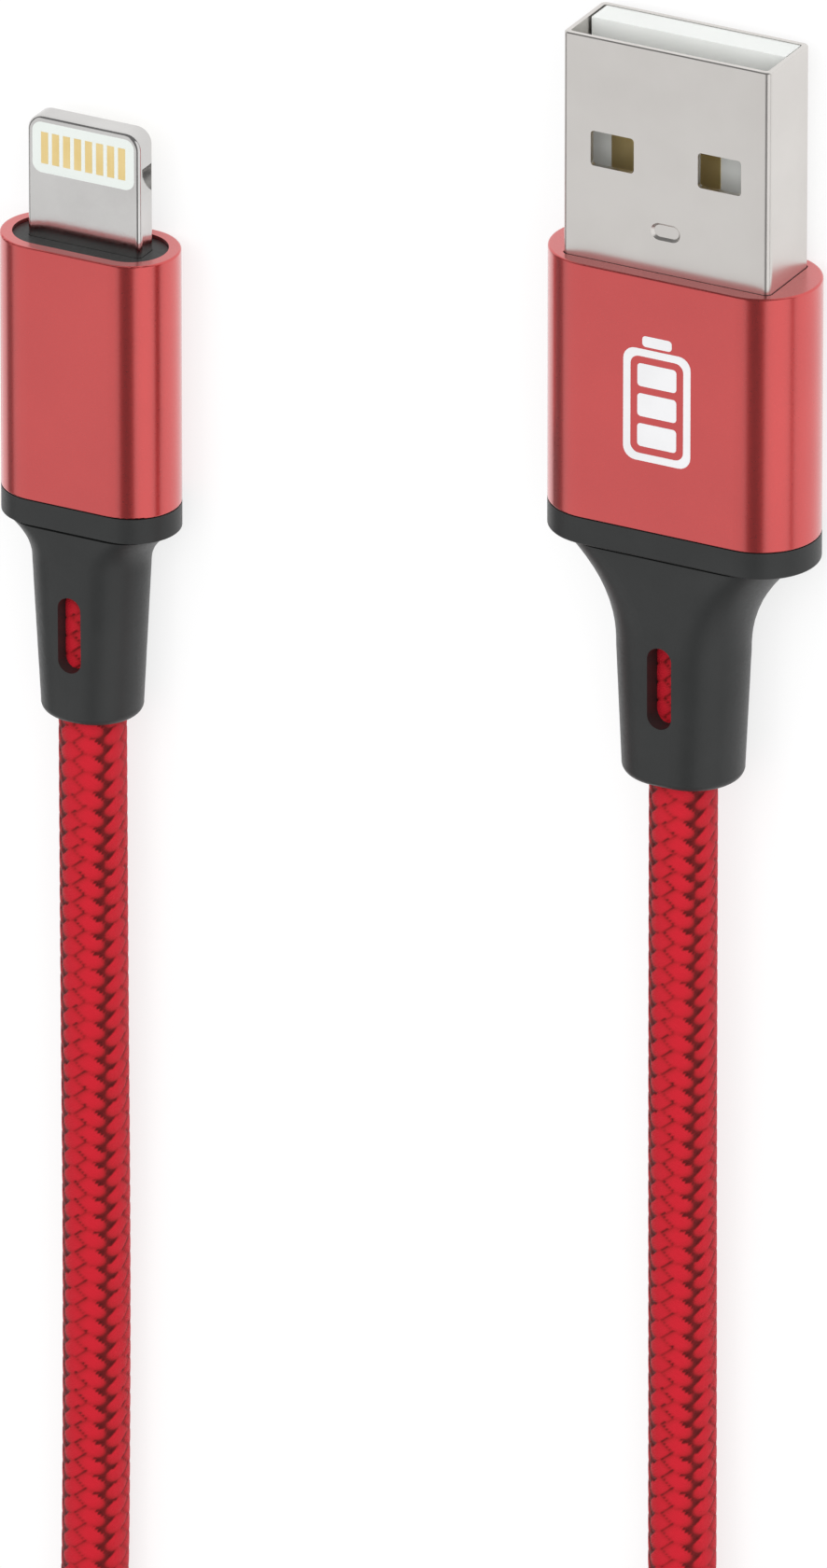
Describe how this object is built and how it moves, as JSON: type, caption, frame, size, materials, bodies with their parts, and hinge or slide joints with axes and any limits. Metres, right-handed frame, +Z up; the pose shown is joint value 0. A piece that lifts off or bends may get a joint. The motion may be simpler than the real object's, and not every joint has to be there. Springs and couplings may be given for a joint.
{
  "type": "charging cable",
  "caption": "Red braided charging cable with red anodised sleeves, a rectangular type-A plug and a slim reversible phone plug, its spare length coiled.",
  "frame": {"origin": "bottom centre of the box round the two plugs, on the table", "axes": "+X from the phone plug to the type-A plug, +Y the way both plugs go in, +Z up off the table"},
  "size_m": [0.056, 0.1611, 0.0072],
  "materials": {
    "red_anodised": "satin anodised",
    "plug_steel": "bright",
    "blade_metal": "polished",
    "black_plastic": "satin",
    "white_plastic": "satin",
    "contact_gold": "plated",
    "board": "solder mask",
    "chip_black": "moulded",
    "capacitor_tan": "ceramic",
    "inner_plastic": "moulded",
    "crimp_metal": "drawn",
    "jacket_rubber": "matte",
    "wire_black": "insulation",
    "wire_green": "insulation",
    "wire_white": "insulation",
    "wire_red": "insulation",
    "red_braid": "herringbone braid"
  },
  "bodies": {
    "root": {"type_a_shell": "plug_steel", "type_a_tongue": "white_plastic", "type_a_contact_power": "contact_gold", "type_a_contact_data_minus": "contact_gold", "type_a_contact_data_plus": "contact_gold", "type_a_contact_ground": "contact_gold", "type_a_rear_block": "inner_plastic", "type_a_inner_mould": "inner_plastic", "type_a_housing": "red_anodised", "type_a_strain_relief": "black_plastic", "type_a_cord_jacket": "jacket_rubber", "type_a_crimp_ring": "crimp_metal", "type_a_wire_black": "wire_black", "type_a_wire_green": "wire_green", "type_a_wire_white": "wire_white", "type_a_wire_red": "wire_red", "phone_blade_frame": "blade_metal", "phone_contact_panel": "white_plastic", "phone_contacts_front": "contact_gold", "phone_contacts_back": "contact_gold", "phone_circuit_board": "board", "phone_control_chip": "chip_black", "phone_capacitors": "capacitor_tan", "phone_shield_can": "plug_steel", "phone_nose_insert": "black_plastic", "phone_inner_mould": "inner_plastic", "phone_housing": "red_anodised", "phone_strain_relief": "black_plastic", "phone_cord_jacket": "jacket_rubber", "phone_crimp_ring": "crimp_metal", "phone_wire_black": "wire_black", "phone_wire_green": "wire_green", "phone_wire_white": "wire_white", "phone_wire_red": "wire_red", "cord_type_a_tail": "red_braid", "cord_phone_tail": "red_braid", "cord_coil": "red_braid"}
  },
  "joints": []
}
